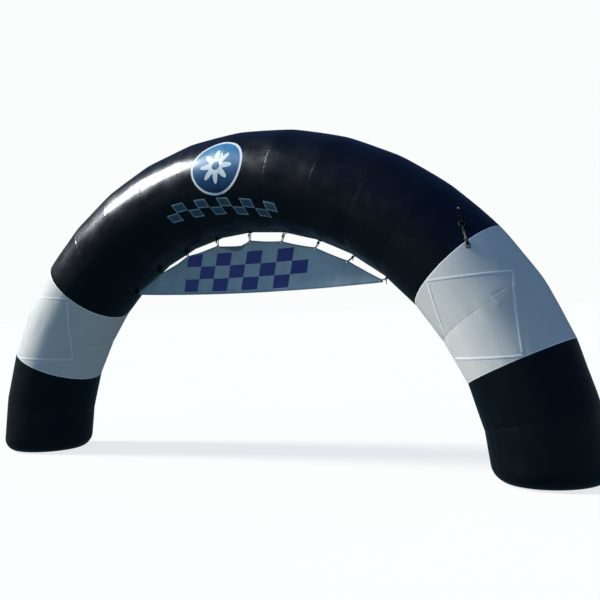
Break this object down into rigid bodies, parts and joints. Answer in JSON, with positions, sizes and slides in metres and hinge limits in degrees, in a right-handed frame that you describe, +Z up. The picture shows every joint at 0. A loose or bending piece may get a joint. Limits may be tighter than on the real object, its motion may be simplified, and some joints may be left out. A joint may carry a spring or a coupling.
{
  "type": "inflatable arch",
  "caption": "Free-standing inflated tube arch for a race line, with rounded feet and a cloth banner tied under its crown.",
  "frame": {"origin": "on the ground, midway between the two feet", "axes": "+Z up, +X along the span towards the foot that carries the tether, -Y towards the front"},
  "size_m": [7.9608, 1.1531, 3.8268],
  "materials": {
    "black_coated_cloth": "glossy coated polyester cloth",
    "white_coated_cloth": "satin coated polyester cloth",
    "hook_loop_tape": "short white loop pile",
    "banner_cloth": "thin woven polyester with a dye print",
    "black_webbing": "woven polyester webbing",
    "black_cord": "braided polyester cord",
    "beige_webbing": "woven polyester webbing",
    "bright_metal": "polished nickel plate",
    "dark_metal": "black coated steel wire"
  },
  "bodies": {
    "root": {"gore_01": "black_coated_cloth", "gore_02": "black_coated_cloth", "gore_03": "white_coated_cloth", "gore_04": "white_coated_cloth", "gore_05": "black_coated_cloth", "gore_06": "black_coated_cloth", "gore_07": "black_coated_cloth", "gore_08": "black_coated_cloth", "gore_09": "black_coated_cloth", "gore_10": "black_coated_cloth", "gore_11": "black_coated_cloth", "gore_12": "black_coated_cloth", "gore_13": "black_coated_cloth", "gore_14": "black_coated_cloth", "gore_15": "white_coated_cloth", "gore_16": "white_coated_cloth", "gore_17": "black_coated_cloth", "gore_18": "black_coated_cloth", "base_right": "black_coated_cloth", "base_left": "black_coated_cloth", "tape_right_top": "hook_loop_tape", "tape_right_outer": "hook_loop_tape", "tape_right_bottom": "hook_loop_tape", "tape_right_inner": "hook_loop_tape", "tape_left_top": "hook_loop_tape", "tape_left_outer": "hook_loop_tape", "tape_left_bottom": "hook_loop_tape", "tape_left_inner": "hook_loop_tape", "banner": "banner_cloth", "tab_05": "black_webbing", "tab_06": "black_webbing", "tab_07": "black_webbing", "tab_08": "black_webbing", "tab_09": "black_webbing", "tab_10": "black_webbing", "tab_11": "black_webbing", "tab_12": "black_webbing", "tab_13": "black_webbing", "tie_05": "black_cord", "tie_06": "black_cord", "tie_07": "black_cord", "tie_08": "black_cord", "tie_09": "black_cord", "tie_10": "black_cord", "tie_11": "black_cord", "tie_12": "black_cord", "tie_13": "black_cord", "anchor_strap": "black_webbing", "anchor_stud": "bright_metal", "tether_ring": "bright_metal", "tether_strap": "beige_webbing", "tether_clip": "dark_metal"}
  },
  "joints": []
}
